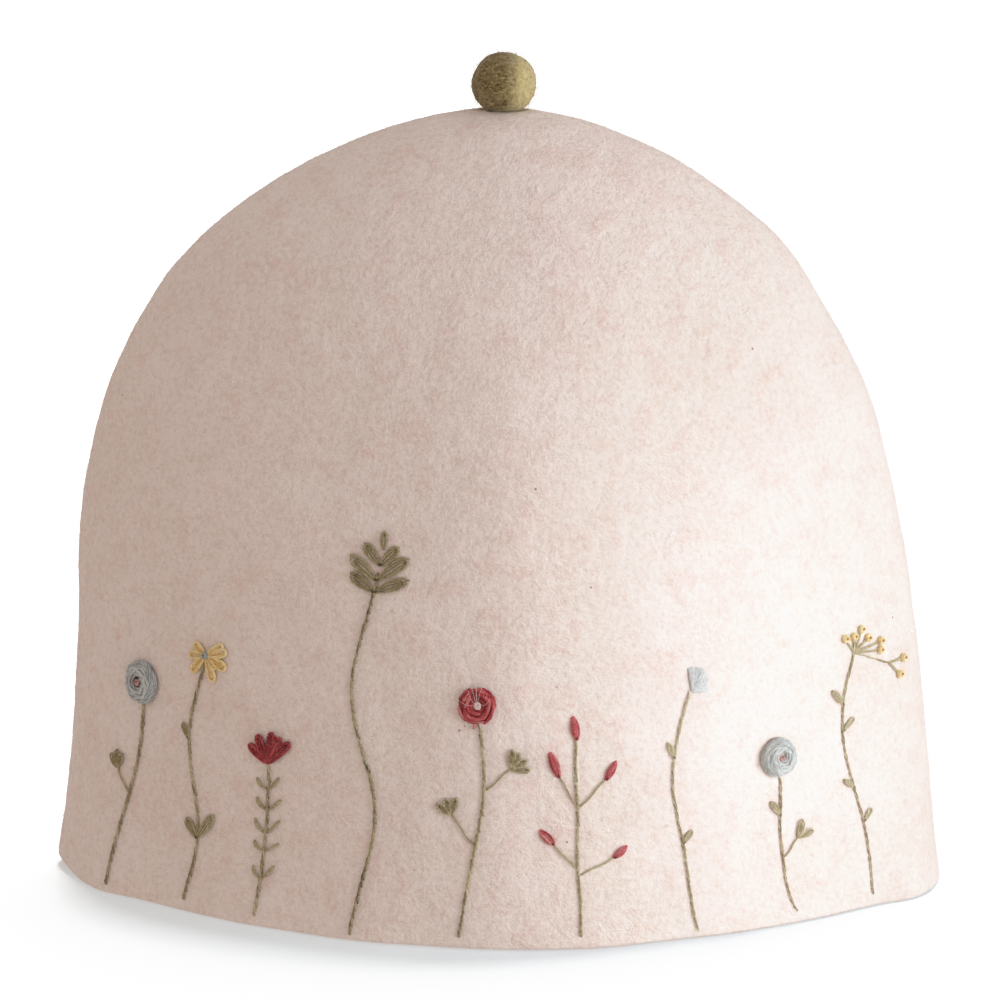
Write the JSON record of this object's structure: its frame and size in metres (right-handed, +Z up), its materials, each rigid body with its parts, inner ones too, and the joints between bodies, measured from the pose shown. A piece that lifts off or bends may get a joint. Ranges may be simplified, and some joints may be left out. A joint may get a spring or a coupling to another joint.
{
  "type": "tea cosy",
  "caption": "Seamless wool-felt tea cosy, a soft dome open at its hem, with a small felt ball on top and embroidered flower stems rising from the hem.",
  "frame": {"origin": "the middle of the hem, on the surface that the cosy stands on", "axes": "+Z up through the felt ball, +X to the right along the cosy's width as its embroidered front is looked at, and the front faces -Y"},
  "size_m": [0.2811, 0.1592, 0.2609],
  "materials": {
    "blush_felt": "matte, fine wool fuzz",
    "green_felt": "matte, wool fuzz",
    "green_thread": "soft, twisted cotton",
    "red_thread": "soft, twisted cotton",
    "blue_thread": "soft, twisted cotton",
    "yellow_thread": "soft, twisted cotton"
  },
  "bodies": {
    "root": {"felt_body": "blush_felt", "felt_ball": "green_felt", "rose_stem": "green_thread", "daisy_stem": "green_thread", "tulip_stem": "green_thread", "fern_stem": "green_thread", "fern_tip": "green_thread", "red_rose_stem": "green_thread", "berry_stem": "green_thread", "fan_stem": "green_thread", "button_stem": "green_thread", "yarrow_stem": "green_thread", "blue_rose": "blue_thread", "blue_button": "blue_thread", "blue_fan": "blue_thread", "daisy": "yellow_thread", "tulip": "red_thread", "red_rose": "red_thread", "bud_0": "red_thread", "bud_1": "red_thread", "bud_2": "red_thread", "bud_3": "red_thread", "bud_4": "red_thread", "yarrow_knot_1": "yellow_thread", "yarrow_knot_2": "yellow_thread", "yarrow_knot_3": "yellow_thread", "yarrow_knot_4": "yellow_thread", "yarrow_knot_5": "yellow_thread", "yarrow_knot_6": "yellow_thread", "yarrow_knot_7": "yellow_thread", "yarrow_knot_8": "yellow_thread"}
  },
  "joints": []
}
